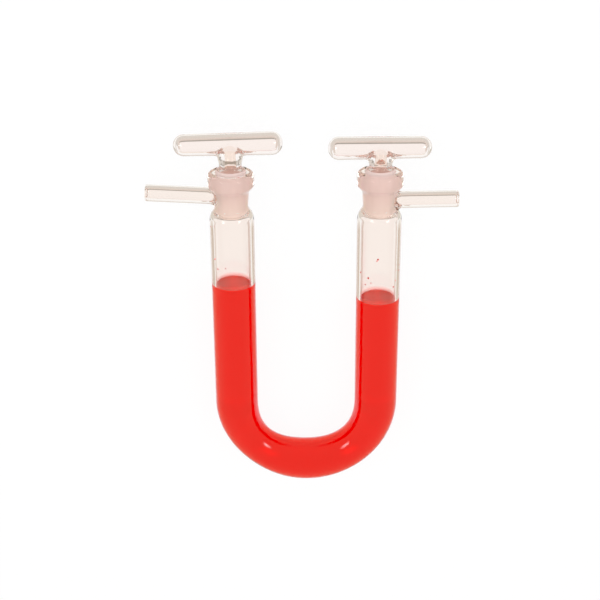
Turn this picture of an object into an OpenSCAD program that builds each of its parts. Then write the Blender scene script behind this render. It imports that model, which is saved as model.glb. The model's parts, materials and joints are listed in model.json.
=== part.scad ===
// U-shaped drying tube of blown glass, with two ground-in T-handled plugs that turn to open and
// close its side arms, part filled with a red liquid. It lies on its back, as it would on a bench.
//
// Each module draws its piece upright, with the limbs along +Z, the middle of the bend's centre
// line circle at the origin and the arms along X. lay_down() then puts it on its back.

/* [Tubing] */
// Outside diameter of the limbs and the bend
tube_d = 20; // [16:0.1:26]
// Wall thickness of the limbs and the bend
tube_wall = 1.8; // [1.2:0.1:2.4]
// Distance between the centre lines of the limbs
limb_pitch = 66.2; // [54:0.1:90]
// Straight length of each limb, from the bend to the foot of the shoulder
limb_len = 93; // [70:0.5:140]

/* [Ground sockets] */
// Bore of each ground socket at its mouth
mouth_d = 13.4; // [11:0.1:16]
// Length of the ground bore
joint_len = 20.3; // [16:0.1:22.5]
// Length over which the ground bore narrows by 1 mm in diameter
taper_len = 10; // [8:1:20]
// Wall thickness of the socket's neck
neck_wall = 1.7; // [1.2:0.1:2.2]
// Height of the neck, from the shoulder to the mouth
neck_h = 17.2; // [14:0.1:20]
// Height of the rounded shoulder between the limb and the neck
shoulder_h = 5.5; // [5:0.1:9]
// How far the collar round the mouth stands out from the neck
collar_lip = 2.5; // [1.6:0.1:2.8]
// Height of the collar, bevel and all
collar_h = 8.9; // [7:0.1:9.5]
// Height of the bevel under the collar
bevel_h = 3; // [2:0.1:3.6]
// Radius of the collar's rounded top edge
collar_round = 1.7; // [1:0.1:2.2]
// Radius of the rounded inner edge of the mouth
mouth_round = 0.5; // [0.3:0.1:0.8]

/* [Side arms] */
// Outside diameter of the side arms
arm_d = 7.5; // [6:0.1:9]
// Wall thickness of the side arms
arm_wall = 1.3; // [1:0.1:1.8]
// Reach of the left arm from its limb's centre line
left_arm_reach = 38.3; // [30:0.1:50]
// Reach of the right arm from its limb's centre line
right_arm_reach = 35.2; // [30:0.1:50]
// Depth of the left arm's root below the mouth
left_arm_drop = 11.5; // [11:0.1:13.6]
// Depth of the right arm's root below the mouth
right_arm_drop = 13.5; // [11:0.1:13.6]
// Rise of the left arm towards its tip, in degrees
left_arm_rise = 3.1; // [0:0.1:4]
// Rise of the right arm towards its tip, in degrees
right_arm_rise = 0.8; // [0:0.1:4]
// How far the fused root of each arm stands out round the arm
root_flare = 1; // [0.5:0.1:1.5]
// Length over which the fused root dies away along the arm
root_run = 2.4; // [1.5:0.1:4]

/* [Plugs] */
// Gap all round between the plug's cone and its socket
joint_gap = 0.05; // [0.02:0.01:0.1]
// Wall thickness of the plug's cone
plug_wall = 1.3; // [1:0.1:1.6]
// Height of the plug's rounded head, from the mouth to the stem
head_h = 3.4; // [2.8:0.1:4]
// Diameter of the stem at its waist
stem_d = 10.6; // [8:0.1:11]
// Diameter of the stem where it flares into the bar
stem_top_d = 12.2; // [9:0.1:12.6]
// Wall thickness of the stem
stem_wall = 2; // [1.4:0.1:2.6]
// Diameter of the T-bar
bar_d = 10; // [9:0.1:12.5]
// Wall thickness of the T-bar
bar_wall = 1.7; // [1.2:0.1:2.2]
// Thickness of the glass that seals each end of the T-bar
bar_end = 3; // [2:0.1:4]
// Length of the left T-bar
left_bar_len = 47.9; // [36:0.1:58]
// Length of the right T-bar
right_bar_len = 45.6; // [36:0.1:58]
// How far the left T-bar is off centre on its stem
left_bar_shift = -0.8; // [-2:0.1:2]
// How far the right T-bar is off centre on its stem
right_bar_shift = -0.4; // [-2:0.1:2]
// Height of the left T-bar's centre line above the mouth
left_bar_rise = 13.1; // [11:0.1:18]
// Height of the right T-bar's centre line above the mouth
right_bar_rise = 11.1; // [11:0.1:18]
// Turn of the left plug as it stands, in degrees
left_turn = 3.5; // [-10:0.5:10]
// Turn of the right plug as it stands, in degrees
right_turn = 1.5; // [-10:0.5:10]

/* [Liquid] */
// Height of the liquid in the left limb above the bend
left_level = 61.2; // [20:0.1:66]
// Height of the liquid in the right limb above the bend
right_level = 53.6; // [20:0.1:66]
// How far the liquid climbs the glass at its edge
meniscus_h = 1.6; // [0.5:0.1:2.5]
// Gap between the liquid and the glass
liquid_gap = 0.03; // [0.02:0.01:0.1]

/* [Hidden] */
$fn = 96;
arc_steps = 8;     // straight runs in a quarter of a rounded edge
cut = 1;           // how far a cutting tool runs past what it cuts
root_sink = 0.3;   // how deep the foot of an arm's flare is set into the neck

limb_r = tube_d / 2;
bore_r = limb_r - tube_wall;
bend_r = limb_pitch / 2;
mouth_z = limb_len + shoulder_h + neck_h;
joint_end = mouth_z - joint_len;
neck_foot = limb_len + shoulder_h;
collar_foot = mouth_z - collar_h;
collar_r = socket_r(collar_foot) + neck_wall + collar_lip;
arm_r = arm_d / 2;
arm_bore = arm_r - arm_wall;
stem_r = stem_d / 2;
stem_bore = stem_r - stem_wall;
bar_r = bar_d / 2;
bar_bore = bar_r - bar_wall;

// The left limb stands at -X and the right one at +X.
LEFT = -1;
RIGHT = 1;
function arm_reach(side) = side == LEFT ? left_arm_reach : right_arm_reach;
function arm_rise(side) = side == LEFT ? left_arm_rise : right_arm_rise;
function arm_root_z(side) = mouth_z - (side == LEFT ? left_arm_drop : right_arm_drop);
function bar_len(side) = side == LEFT ? left_bar_len : right_bar_len;
function bar_shift(side) = side == LEFT ? left_bar_shift : right_bar_shift;
function bar_z(side) = mouth_z + (side == LEFT ? left_bar_rise : right_bar_rise);
function turn(side) = side == LEFT ? left_turn : right_turn;
function level(side) = side == LEFT ? left_level : right_level;

// Radius of the ground bore at height z: it narrows evenly from the mouth down.
function socket_r(z) = (mouth_d - (mouth_z - z) / taper_len) / 2;

// Points on an arc about c, of radius r, from angle a to angle b.
function arc(c, r, a, b) = [
    for (i = [0 : arc_steps]) c + r * [cos(a + (b - a) * i / arc_steps), sin(a + (b - a) * i / arc_steps)]
];

// The shoulder is an arc that leaves the limb at a tangent and reaches the neck at its foot. This
// is its radius, for a drop of d in radius over the shoulder's height.
function shoulder_arc(d) = (d * d + shoulder_h * shoulder_h) / (2 * d);
neck_foot_r = socket_r(neck_foot) + neck_wall;
shoulder_r = shoulder_arc(limb_r - neck_foot_r);
shoulder_x = limb_r - shoulder_r;
shoulder_angle = asin(shoulder_h / shoulder_r);
// The inside of the shoulder is the same arc a wall's thickness in, as far as the foot of the
// ground bore, where it turns to meet it.
inner_shoulder_r = shoulder_r - tube_wall;
inner_shoulder_angle = asin((joint_end - limb_len) / inner_shoulder_r);

// Row frame: X across the limbs, +Y towards the mouths, +Z up from the bench. The origin is on
// the bench, under the middle of the tube's outline.
arm_tip_x = [for (s = [LEFT, RIGHT])
    bend_r + arm_reach(s) * cos(arm_rise(s)) + arm_r * sin(arm_rise(s))];
outline_top = max(bar_z(LEFT), bar_z(RIGHT)) + bar_r;
outline_bottom = -bend_r - limb_r;
rest_h = max(collar_r, limb_r);
module lay_down() {
    translate([(arm_tip_x[0] - arm_tip_x[1]) / 2, -(outline_top + outline_bottom) / 2, rest_h])
        rotate([-90, 0, 0])
            children();
}

// Puts its children on the centre line of one limb.
module on_limb(side) {
    translate([side * bend_r, 0, 0]) children();
}

// Puts its children at the root of a side arm, with +Z out along the arm.
module on_arm(side) {
    on_limb(side)
        translate([0, 0, arm_root_z(side)])
            rotate([0, side * (90 - arm_rise(side)), 0])
                children();
}

// Half of a ring of tubing of radius r, below Z = 0.
module bend(r) {
    rotate([-90, 0, 0])
        rotate_extrude(angle = 180)
            translate([bend_r, 0])
                circle(r = r);
}

// Outside of a limb: the straight tube, its shoulder, its neck and the collar round its mouth.
module limb_outside() {
    collar_top = arc([collar_r - collar_round, mouth_z - collar_round], collar_round, 0, 90);
    rotate_extrude()
        polygon(concat(
            [[0, 0], [limb_r, 0]],
            arc([shoulder_x, limb_len], shoulder_r, 0, shoulder_angle),
            [[socket_r(collar_foot) + neck_wall, collar_foot], [collar_r, collar_foot + bevel_h]],
            collar_top,
            [[0, mouth_z]]
        ));
}

// Inside of a limb: the plain bore, the inside of the shoulder, the ground taper and the mouth.
module limb_inside() {
    edge_z = mouth_z - mouth_round;
    edge_x = socket_r(edge_z) + mouth_round;
    rotate_extrude()
        polygon(concat(
            [[0, 0], [bore_r, 0]],
            arc([shoulder_x, limb_len], inner_shoulder_r, 0, inner_shoulder_angle),
            [[socket_r(joint_end), joint_end]],
            arc([edge_x, edge_z], mouth_round, 180, 90),
            [[edge_x, mouth_z + cut], [0, mouth_z + cut]]
        ));
}

// Outside of a side arm, from the limb's centre line to its tip. Its root is a hollow flare, a
// quarter of an ellipse, that starts just inside the neck.
module arm_outside(side) {
    flare_end = socket_r(arm_root_z(side)) + neck_wall - root_sink + root_run;
    rotate_extrude()
        polygon(concat(
            [[0, 0], [arm_r + root_flare, 0]],
            [for (i = [0 : arc_steps]) let (a = 90 * i / arc_steps)
                [arm_r + root_flare * (1 - sin(a)), flare_end - root_run * cos(a)]],
            [[arm_r, arm_reach(side)], [0, arm_reach(side)]]
        ));
}

// One piece of blown glass: two limbs and their bend, with a side arm fused to each neck.
module u_tube() {
    color("mistyrose", 0.4)
        difference() {
            union() {
                bend(limb_r);
                for (side = [LEFT, RIGHT]) {
                    on_limb(side) limb_outside();
                    on_arm(side) arm_outside(side);
                }
            }
            bend(bore_r);
            for (side = [LEFT, RIGHT]) {
                on_limb(side) limb_inside();
                on_arm(side) cylinder(r = arm_bore, h = arm_reach(side) + cut);
            }
        }
}

// Outside of a plug below its bar: the ground cone, the rounded head and the flared stem.
module plug_outside(side) {
    cone_top = socket_r(mouth_z) - joint_gap;
    head_drop = cone_top - stem_r;
    rotate_extrude()
        polygon(concat(
            [[0, joint_end], [socket_r(joint_end) - joint_gap, joint_end]],
            [for (i = [0 : arc_steps]) let (a = 90 * i / arc_steps)
                [stem_r + head_drop * cos(a), mouth_z + head_h * sin(a)]],
            [[stem_top_d / 2, bar_z(side) - bar_r + bar_wall], [0, bar_z(side)]]
        ));
}

// Hollow of a plug below its bar: it is open at the foot and runs up the stem into the bar.
module plug_inside(side) {
    hollow_top = socket_r(mouth_z) - joint_gap - plug_wall;
    rotate_extrude()
        polygon([
            [0, joint_end - cut],
            [socket_r(joint_end) - joint_gap - plug_wall, joint_end - cut],
            [hollow_top, mouth_z - plug_wall],
            [stem_bore, mouth_z + head_h - plug_wall],
            [stem_bore, bar_z(side)],
            [0, bar_z(side)],
        ]);
}

// A round-ended rod of radius r along X, len long over its ends.
module rod(r, len) {
    rotate([0, 90, 0])
        cylinder(r = r, h = len - 2 * r, center = true);
    for (end = [-1, 1])
        translate([end * (len / 2 - r), 0, 0])
            sphere(r = r);
}

// One piece of blown glass: a hollow ground plug with a hole in its side that meets the arm's
// bore, and a hollow T-bar to turn it by.
module plug(side) {
    color("seashell", 0.5)
        on_limb(side)
            rotate([0, 0, turn(side)])
                difference() {
                    union() {
                        plug_outside(side);
                        translate([bar_shift(side), 0, bar_z(side)]) rod(bar_r, bar_len(side));
                    }
                    plug_inside(side);
                    translate([bar_shift(side), 0, bar_z(side)])
                        rod(bar_bore, bar_len(side) - 2 * bar_end);
                    translate([0, 0, arm_root_z(side)])
                        rotate([0, side * 90, 0])
                            cylinder(r = arm_bore, h = mouth_d);
                }
}

// Liquid in one limb, with a hollow surface that climbs the glass at its edge.
module liquid_column(side) {
    r = bore_r - liquid_gap;
    rotate_extrude()
        polygon(concat(
            [[0, 0], [r, 0]],
            [for (i = [arc_steps : -1 : 0])
                [r * i / arc_steps, level(side) + meniscus_h * pow(i / arc_steps, 4)]]
        ));
}

// The red liquid, one body from surface to surface round the bend.
module red_liquid() {
    color("red")
        union() {
            bend(bore_r - liquid_gap);
            for (side = [LEFT, RIGHT])
                on_limb(side) liquid_column(side);
        }
}

lay_down() u_tube();
lay_down() plug(LEFT);  // left_plug
lay_down() plug(RIGHT);  // right_plug
lay_down() red_liquid();
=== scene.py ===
"""Glass drying tube: a U of blown tubing with two hollow T-handled ground plugs and a red liquid.

Each piece is worked out in an upright local frame, as the tube hangs in use: X across the limbs,
Y away from the viewer, Z up, with the origin at the middle of the bend. The row frame has the tube
on its back, so upright (X, Y, Z) goes to row (X, Z, -Y) about the plug axes that the frame gives.
"""
import json
import math

import bpy
import numpy as np
from bpy.props import FloatProperty, FloatVectorProperty, IntProperty, PointerProperty
from bpy.types import Operator, Panel, PropertyGroup
from mathutils import Matrix, Vector


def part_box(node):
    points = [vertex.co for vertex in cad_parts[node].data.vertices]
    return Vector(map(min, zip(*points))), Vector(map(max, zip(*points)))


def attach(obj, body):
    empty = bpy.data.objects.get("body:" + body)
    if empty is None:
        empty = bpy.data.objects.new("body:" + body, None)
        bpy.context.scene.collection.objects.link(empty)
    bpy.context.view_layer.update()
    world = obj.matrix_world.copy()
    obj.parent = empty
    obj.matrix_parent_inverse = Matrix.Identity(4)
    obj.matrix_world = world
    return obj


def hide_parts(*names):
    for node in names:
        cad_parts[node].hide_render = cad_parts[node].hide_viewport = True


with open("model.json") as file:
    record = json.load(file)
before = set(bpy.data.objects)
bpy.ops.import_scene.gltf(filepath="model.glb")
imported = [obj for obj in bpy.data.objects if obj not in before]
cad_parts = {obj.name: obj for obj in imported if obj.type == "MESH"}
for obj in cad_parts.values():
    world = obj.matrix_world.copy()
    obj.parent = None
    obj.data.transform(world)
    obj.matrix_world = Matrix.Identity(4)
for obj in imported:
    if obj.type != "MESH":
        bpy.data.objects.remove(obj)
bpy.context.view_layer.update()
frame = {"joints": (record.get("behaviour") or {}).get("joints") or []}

bl_info = {
    "name": "Drying tube",
    "version": (1, 0, 0),
    "blender": (4, 5, 0),
    "location": "View3D > Sidebar > Drying tube",
    "description": "Glass U-tube with ground T-handled plugs and a red liquid",
    "category": "Object",
}

LEFT, RIGHT = -1, 1
SIDES = (LEFT, RIGHT)
SIDE_NAMES = {LEFT: "left", RIGHT: "right"}

# Finishes, in the order of a piece's materials. The third is the wetted bore of the tube, or the
# worked hollow of a plug's stem.
CLEAR, GROUND, WETTED = 0, 1, 2
WORKED = WETTED

JOINTS = {joint["name"]: Vector(joint["pos_m"]) for joint in frame["joints"]}
LEFT_AXIS, RIGHT_AXIS = JOINTS["left_turn"], JOINTS["right_turn"]
TUBE_LOW, TUBE_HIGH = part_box("u_tube")
PLUG_BOX = {side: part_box(f"{SIDE_NAMES[side]}_plug") for side in SIDES}

MID_X = (LEFT_AXIS.x + RIGHT_AXIS.x) / 2
AXIS_HEIGHT = LEFT_AXIS.z
BEND_R = (RIGHT_AXIS.x - LEFT_AXIS.x) / 2


# Settings

class TubeSettings(PropertyGroup):
    """Sizes of the tubing, its sockets and its arms."""
    tube_d: FloatProperty(
        name="Tube diameter", description="Outside diameter of the limbs and the bend",
        default=0.020, unit="LENGTH")
    tube_wall: FloatProperty(
        name="Tube wall", description="Wall thickness of the limbs and the bend",
        default=0.0018, unit="LENGTH")
    left_squeeze: FloatProperty(
        name="Left corner squeeze",
        description="How much the tube narrows in the left of the bend",
        default=0.0011, unit="LENGTH")
    right_squeeze: FloatProperty(
        name="Right corner squeeze",
        description="How much the tube narrows in the right of the bend",
        default=0.0006, unit="LENGTH")
    corner_push: FloatProperty(
        name="Corner push", description="How far the centre line bulges out in the bend's corners",
        default=0.0005, unit="LENGTH")
    mouth_d: FloatProperty(
        name="Mouth bore", description="Bore of each ground socket at its mouth",
        default=0.0134, unit="LENGTH")
    joint_len: FloatProperty(
        name="Ground length", description="Length of the ground bore in each socket",
        default=0.0193, unit="LENGTH")
    taper: FloatProperty(
        name="Taper",
        description="Narrowing of the ground bore's diameter for each unit of length",
        default=0.1)
    neck_wall: FloatProperty(
        name="Neck wall", description="Wall thickness of the socket's neck",
        default=0.0017, unit="LENGTH")
    neck_h: FloatProperty(
        name="Neck height", description="Height of the neck, from the shoulder to the mouth",
        default=0.0172, unit="LENGTH")
    shoulder_h: FloatProperty(
        name="Shoulder height", description="Height of the rounded shoulder under the neck",
        default=0.0055, unit="LENGTH")
    shoulder_round: FloatProperty(
        name="Shoulder round", description="Radius of the shoulder outside",
        default=0.006, unit="LENGTH")
    shoulder_inner_round: FloatProperty(
        name="Inner shoulder round", description="Radius of the shoulder inside",
        default=0.0026, unit="LENGTH")
    shoulder_rise: FloatProperty(
        name="Shoulder rise",
        description="How far above its foot the shoulder turns into the limb",
        default=0.0024, unit="LENGTH")
    collar_h: FloatProperty(
        name="Collar height", description="Height of the collar round each mouth, bevel and all",
        default=0.0089, unit="LENGTH")
    bevel_h: FloatProperty(
        name="Collar bevel", description="Height of the bevel under the collar",
        default=0.003, unit="LENGTH")
    collar_round: FloatProperty(
        name="Collar round", description="Radius of the collar's rounded top edge",
        default=0.0017, unit="LENGTH")
    mouth_round: FloatProperty(
        name="Mouth round", description="Radius of the rounded inner edge of each mouth",
        default=0.0005, unit="LENGTH")
    arm_d: FloatProperty(
        name="Arm diameter", description="Outside diameter of the side arms",
        default=0.0075, unit="LENGTH")
    arm_wall: FloatProperty(
        name="Arm wall", description="Wall thickness of the side arms",
        default=0.0013, unit="LENGTH")
    tip_round: FloatProperty(
        name="Tip round", description="Radius of the rounded outer edge of each arm's tip",
        default=0.0009, unit="LENGTH")
    tip_narrowing: FloatProperty(
        name="Tip narrowing", description="How much the fire-polished tip narrows the arm's bore",
        default=0.0005, unit="LENGTH")
    tip_run: FloatProperty(
        name="Tip run", description="Length over which the narrowed tip opens to the arm's bore",
        default=0.0016, unit="LENGTH")
    left_arm_drop: FloatProperty(
        name="Left arm drop", description="Depth of the left arm's root below the mouth",
        default=0.0115, unit="LENGTH")
    right_arm_drop: FloatProperty(
        name="Right arm drop", description="Depth of the right arm's root below the mouth",
        default=0.0135, unit="LENGTH")
    left_arm_rise: FloatProperty(
        name="Left arm rise", description="Rise of the left arm towards its tip",
        default=math.radians(3.1), unit="ROTATION")
    right_arm_rise: FloatProperty(
        name="Right arm rise", description="Rise of the right arm towards its tip",
        default=math.radians(0.8), unit="ROTATION")
    root_flare: FloatProperty(
        name="Root flare", description="How far the fused root of each arm spreads on the neck",
        default=0.00115, unit="LENGTH")
    root_run: FloatProperty(
        name="Root run", description="Length over which the fused root dies away along the arm",
        default=0.0022, unit="LENGTH")


class PlugSettings(PropertyGroup):
    """Sizes of the ground plugs and their T-bars."""
    joint_gap: FloatProperty(
        name="Joint gap", description="Gap all round between a plug's cone and its socket",
        default=0.00005, unit="LENGTH", precision=5)
    plug_wall: FloatProperty(
        name="Plug wall", description="Wall thickness of the plug's cone",
        default=0.0013, unit="LENGTH")
    head_h: FloatProperty(
        name="Head height", description="Height of the rounded head, from the mouth to the stem",
        default=0.0026, unit="LENGTH")
    stem_d: FloatProperty(
        name="Stem diameter", description="Diameter of the stem at its waist",
        default=0.0096, unit="LENGTH")
    stem_top_d: FloatProperty(
        name="Stem top", description="Diameter of the stem where it meets the bar",
        default=0.0122, unit="LENGTH")
    stem_wall: FloatProperty(
        name="Stem wall", description="Wall thickness of the stem",
        default=0.002, unit="LENGTH")
    bar_d: FloatProperty(
        name="Bar diameter", description="Diameter of the T-bar",
        default=0.010, unit="LENGTH")
    bar_wall: FloatProperty(
        name="Bar wall", description="Wall thickness of the T-bar",
        default=0.0017, unit="LENGTH")
    bar_end: FloatProperty(
        name="Bar end", description="Thickness of the glass that seals each end of the T-bar",
        default=0.0019, unit="LENGTH")
    left_swell: FloatProperty(
        name="Left bar swell",
        description="Growth of the left T-bar's radius for each unit across",
        default=0.010)
    right_swell: FloatProperty(
        name="Right bar swell",
        description="Growth of the right T-bar's radius for each unit across",
        default=-0.008)
    left_turn: FloatProperty(
        name="Left plug turn", description="Turn of the left plug as it stands",
        default=math.radians(3.5), unit="ROTATION")
    right_turn: FloatProperty(
        name="Right plug turn", description="Turn of the right plug as it stands",
        default=math.radians(1.5), unit="ROTATION")


class LiquidSettings(PropertyGroup):
    """Levels and colour of the liquid."""
    left_level: FloatProperty(
        name="Left level", description="Height of the liquid in the left limb above the bend",
        default=0.0618, unit="LENGTH")
    right_level: FloatProperty(
        name="Right level", description="Height of the liquid in the right limb above the bend",
        default=0.0542, unit="LENGTH")
    dye: FloatVectorProperty(
        name="Dye colour", description="Colour that the dye lets through",
        default=(0.9985, 0.48, 0.40), subtype="COLOR", size=3)
    body_colour: FloatVectorProperty(
        name="Body colour", description="Tint of the liquid where it lies on the glass",
        default=(0.93, 1.0, 1.0), subtype="COLOR", size=3)
    surface_colour: FloatVectorProperty(
        name="Surface colour", description="Colour of the free surfaces",
        default=(0.95, 0.02, 0.012), subtype="COLOR", size=3)
    surface_body: FloatProperty(
        name="Surface body", description="Share of a free surface that shows its colour",
        default=0.6, min=0.0, max=1.0)
    film_h: FloatProperty(
        name="Film height", description="How far a thin film of liquid reaches up the glass",
        default=0.0026, unit="LENGTH")
    film_colour: FloatVectorProperty(
        name="Film colour", description="Colour of the film above the free surfaces",
        default=(0.9, 0.06, 0.04), subtype="COLOR", size=3)
    film_body: FloatProperty(
        name="Film body", description="Share of the film's foot that shows its colour",
        default=0.5, min=0.0, max=1.0)
    liquid_ior: FloatProperty(
        name="Liquid index", description="Refractive index of the liquid",
        default=1.34)
    dye_density: FloatProperty(
        name="Dye density", description="Strength of the dye for each metre of liquid",
        default=2800.0)


class GlassSettings(PropertyGroup):
    """Finish of the glass."""
    glass_colour: FloatVectorProperty(
        name="Glass colour", description="Tint of the clear glass",
        default=(0.986, 0.934, 0.907), subtype="COLOR", size=3)
    plug_colour: FloatVectorProperty(
        name="Plug colour", description="Tint of the plugs' thinner clear glass",
        default=(0.993, 0.944, 0.926), subtype="COLOR", size=3)
    worked_colour: FloatVectorProperty(
        name="Worked colour", description="Tint of the worked glass in the plugs' stems",
        default=(0.95, 0.84, 0.77), subtype="COLOR", size=3)
    ground_colour: FloatVectorProperty(
        name="Ground colour", description="Tint of the ground faces at the foot of the sockets",
        default=(1.0, 0.89, 0.84), subtype="COLOR", size=3)
    # Painted shade: mouth_shade_colour is darker than ground_colour, and the ground faces blend
    # from one to the other up their bore, a gradient that the light alone does not give.
    mouth_shade_colour: FloatVectorProperty(
        name="Mouth colour", description="Tint of the ground faces at the mouths",
        default=(0.90, 0.75, 0.72), subtype="COLOR", size=3)
    ground_clearness: FloatProperty(
        name="Ground clearness", description="Share of the light that a ground face lets through",
        default=0.35, min=0.0, max=1.0)
    ground_roughness: FloatProperty(
        name="Ground roughness", description="Roughness of the ground faces",
        default=0.6, min=0.0, max=1.0)
    glass_ior: FloatProperty(
        name="Glass index", description="Refractive index of the glass",
        default=1.473)


class StageSettings(PropertyGroup):
    """Camera, lamps and floor."""
    camera_lens: FloatProperty(
        name="Lens", description="Focal length of the camera, in millimetres",
        default=81.72)
    camera_distance: FloatProperty(
        name="Camera distance", description="Distance from the camera to the tube's mid-plane",
        default=0.6288, unit="LENGTH")
    camera_tilt: FloatProperty(
        name="Camera tilt", description="Angle of the camera above the plane across the limbs",
        default=math.radians(26.02), unit="ROTATION")
    camera_roll: FloatProperty(
        name="Camera roll", description="Roll of the camera",
        default=math.radians(-0.3), unit="ROTATION")
    aim_x: FloatProperty(
        name="Aim across", description="Where the camera aims, from the middle of the limbs",
        default=-0.00272, unit="LENGTH")
    aim_height: FloatProperty(
        name="Aim height", description="Where the camera aims, above the middle of the bend",
        default=0.05279, unit="LENGTH")
    flag_gap: FloatProperty(
        name="Outer flag distance",
        description="Distance of the two outer flags from the mid-line",
        default=0.0471, unit="LENGTH")
    inner_flag_gap: FloatProperty(
        name="Inner flag distance",
        description="Distance of the two inner flags from the mid-line",
        default=0.0215, unit="LENGTH")
    flag_near: FloatProperty(
        name="Flag front", description="How far behind the limbs the flags start",
        default=0.0, unit="LENGTH")
    flag_far: FloatProperty(
        name="Flag back", description="How far behind the limbs the flags end",
        default=0.0155, unit="LENGTH")
    flag_colour: FloatVectorProperty(
        name="Flag colour", description="Colour of the flags that the sides of the limbs show",
        default=(0.60, 0.48, 0.41), subtype="COLOR", size=3)
    flag_drop: FloatProperty(
        name="Flag drop", description="How far below the neck's foot the flags beside a limb end",
        default=0.0005, unit="LENGTH")
    bar_flag_gap: FloatProperty(
        name="Bar flag distance", description="How far beyond a T-bar's ends its flags stand",
        default=0.0025, unit="LENGTH")
    bar_flag_near: FloatProperty(
        name="Bar flag front", description="How far behind a T-bar's centre line its flags start",
        default=0.002, unit="LENGTH")
    bar_flag_far: FloatProperty(
        name="Bar flag back", description="How far behind a T-bar's centre line its flags end",
        default=0.024, unit="LENGTH")
    skyline: FloatProperty(
        name="Skyline", description="How far down the room reaches, as the sine of the angle",
        default=-0.20)
    room_colour: FloatVectorProperty(
        name="Room colour", description="Colour of the room that the glass shows at its edges",
        default=(0.72, 0.67, 0.62), subtype="COLOR", size=3)
    front_colour: FloatVectorProperty(
        name="Front colour", description="Colour of the room on the camera's side of the bench",
        default=(0.80, 0.75, 0.66), subtype="COLOR", size=3)
    sheen_colour: FloatVectorProperty(
        name="Sheen colour", description="What the faces mirror, but for the white ahead",
        default=(0.8, 0.8, 0.55), subtype="COLOR", size=3)
    fill_colour: FloatVectorProperty(
        name="Fill colour", description="Soft light from all round on the matt surfaces",
        default=(1.1, 1.09, 1.08), subtype="COLOR", size=3, soft_max=2.0)
    lamp_place: FloatVectorProperty(
        name="Softbox place", description="Where the right softbox stands; the left one mirrors it",
        default=(0.47, 0.3, 0.52), subtype="TRANSLATION", unit="LENGTH", size=3)
    lamp_size: FloatProperty(
        name="Softbox size", description="Side of the two square softboxes",
        default=0.5, unit="LENGTH")
    lamp_power: FloatProperty(
        name="Softbox power", description="Power of each softbox",
        default=0.09, unit="POWER")
    lamp_spread: FloatProperty(
        name="Softbox spread", description="Angle over which a softbox spreads its light",
        default=math.radians(22), unit="ROTATION")
    floor_colour: FloatVectorProperty(
        name="Floor colour", description="Colour of the floor",
        default=(0.9, 0.9, 0.9), subtype="COLOR", size=3)


class DryingTubeSettings(PropertyGroup):
    """Everything about the drying tube that a user may change."""
    tube: PointerProperty(type=TubeSettings)
    plug: PointerProperty(type=PlugSettings)
    liquid: PointerProperty(type=LiquidSettings)
    glass: PointerProperty(type=GlassSettings)
    stage: PointerProperty(type=StageSettings)
    columns: IntProperty(
        name="Columns", description="Columns of the mesh once round a tube; a multiple of 24",
        default=96, min=48, max=144, step=24)


# Meshes from grids

# Steps of a profile shorter than TINY are none, and its arcs turn by ARC_STEP at most.
TINY, ARC_STEP = 1e-9, math.radians(9)


class Skin:
    """Points and faces of one closed piece, gathered grid by grid. place puts the piece's own
    points in the upright frame."""

    def __init__(self, place=None):
        self.place = place or (lambda points: points)
        self.points = []
        self.quads = []
        self.quad_kinds = []
        self.tips = []
        self.count = 0

    def add(self, points):
        """Takes an array of points and gives their numbers, in the same layout."""
        points = np.asarray(points, float)
        numbers = self.count + np.arange(points[..., 0].size).reshape(points.shape[:-1])
        self.points.append(points.reshape(-1, 3))
        self.count += numbers.size
        return numbers

    def weave(self, rows, kind=CLEAR, keep=None, flip=False):
        """Quads between each row of a grid and the next, and round from the last column to the
        first. keep says which quads stay, and kind is their finish, for each row or for all."""
        rows = np.asarray(rows)
        after = np.roll(rows, -1, axis=1)
        quads = np.stack([rows[:-1], after[:-1], after[1:], rows[1:]], axis=-1)
        if flip:
            quads = quads[..., ::-1]
        kinds = np.broadcast_to(np.reshape(kind, (-1, 1)), quads.shape[:2])
        keep = np.ones(quads.shape[:2], bool) if keep is None else keep
        self.quads.append(quads[keep])
        self.quad_kinds.append(kinds[keep])

    def close(self, row, point, flip=False):
        """A fan of triangles from a row to a point beyond it."""
        pole = self.add(np.asarray(point).reshape(1, 3))[0]
        after = np.roll(row, -1)
        tips = np.stack([row, after, np.full_like(row, pole)], axis=-1)
        self.tips.append(tips[:, ::-1] if flip else tips)

    def mesh(self, name):
        """The mesh, in the row frame, with all its faces pointing out."""
        points = to_row(self.place(np.concatenate(self.points)))
        quads = np.concatenate(self.quads)
        kinds = np.concatenate(self.quad_kinds)
        tips = np.concatenate(self.tips) if self.tips else np.empty((0, 3), int)
        a, b, c, d = (points[quads[:, i]] for i in range(4))
        volume = np.einsum("ij,ij->", a, np.cross(b, c)) + np.einsum("ij,ij->", a, np.cross(c, d))
        e, f, g = (points[tips[:, i]] for i in range(3))
        volume += np.einsum("ij,ij->", e, np.cross(f, g))
        if volume < 0:
            quads, tips = quads[:, ::-1], tips[:, ::-1]
        starts = np.concatenate([np.arange(len(quads)) * 4,
                                 len(quads) * 4 + np.arange(len(tips)) * 3])
        mesh = bpy.data.meshes.new(name)
        mesh.vertices.add(len(points))
        mesh.vertices.foreach_set("co", points.ravel())
        mesh.loops.add(quads.size + tips.size)
        mesh.loops.foreach_set("vertex_index", np.concatenate([quads.ravel(), tips.ravel()]))
        mesh.polygons.add(len(starts))
        mesh.polygons.foreach_set("loop_start", starts)
        mesh.polygons.foreach_set("material_index",
                                  np.concatenate([kinds, np.zeros(len(tips), int)]))
        mesh.polygons.foreach_set("use_smooth", np.ones(len(starts), bool))
        mesh.update(calc_edges=True)
        if mesh.validate():
            raise RuntimeError(f"{name} has faces that don't hold together")
        return mesh


def to_row(points):
    """Upright points laid on their back: X stays across, Z becomes the way up the limbs, and Y,
    away from the viewer, becomes the way down to the bench."""
    base_y = to_row_height(settings().tube)
    return np.stack([MID_X + points[:, 0], base_y + points[:, 2], AXIS_HEIGHT - points[:, 1]],
                    axis=-1)


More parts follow.
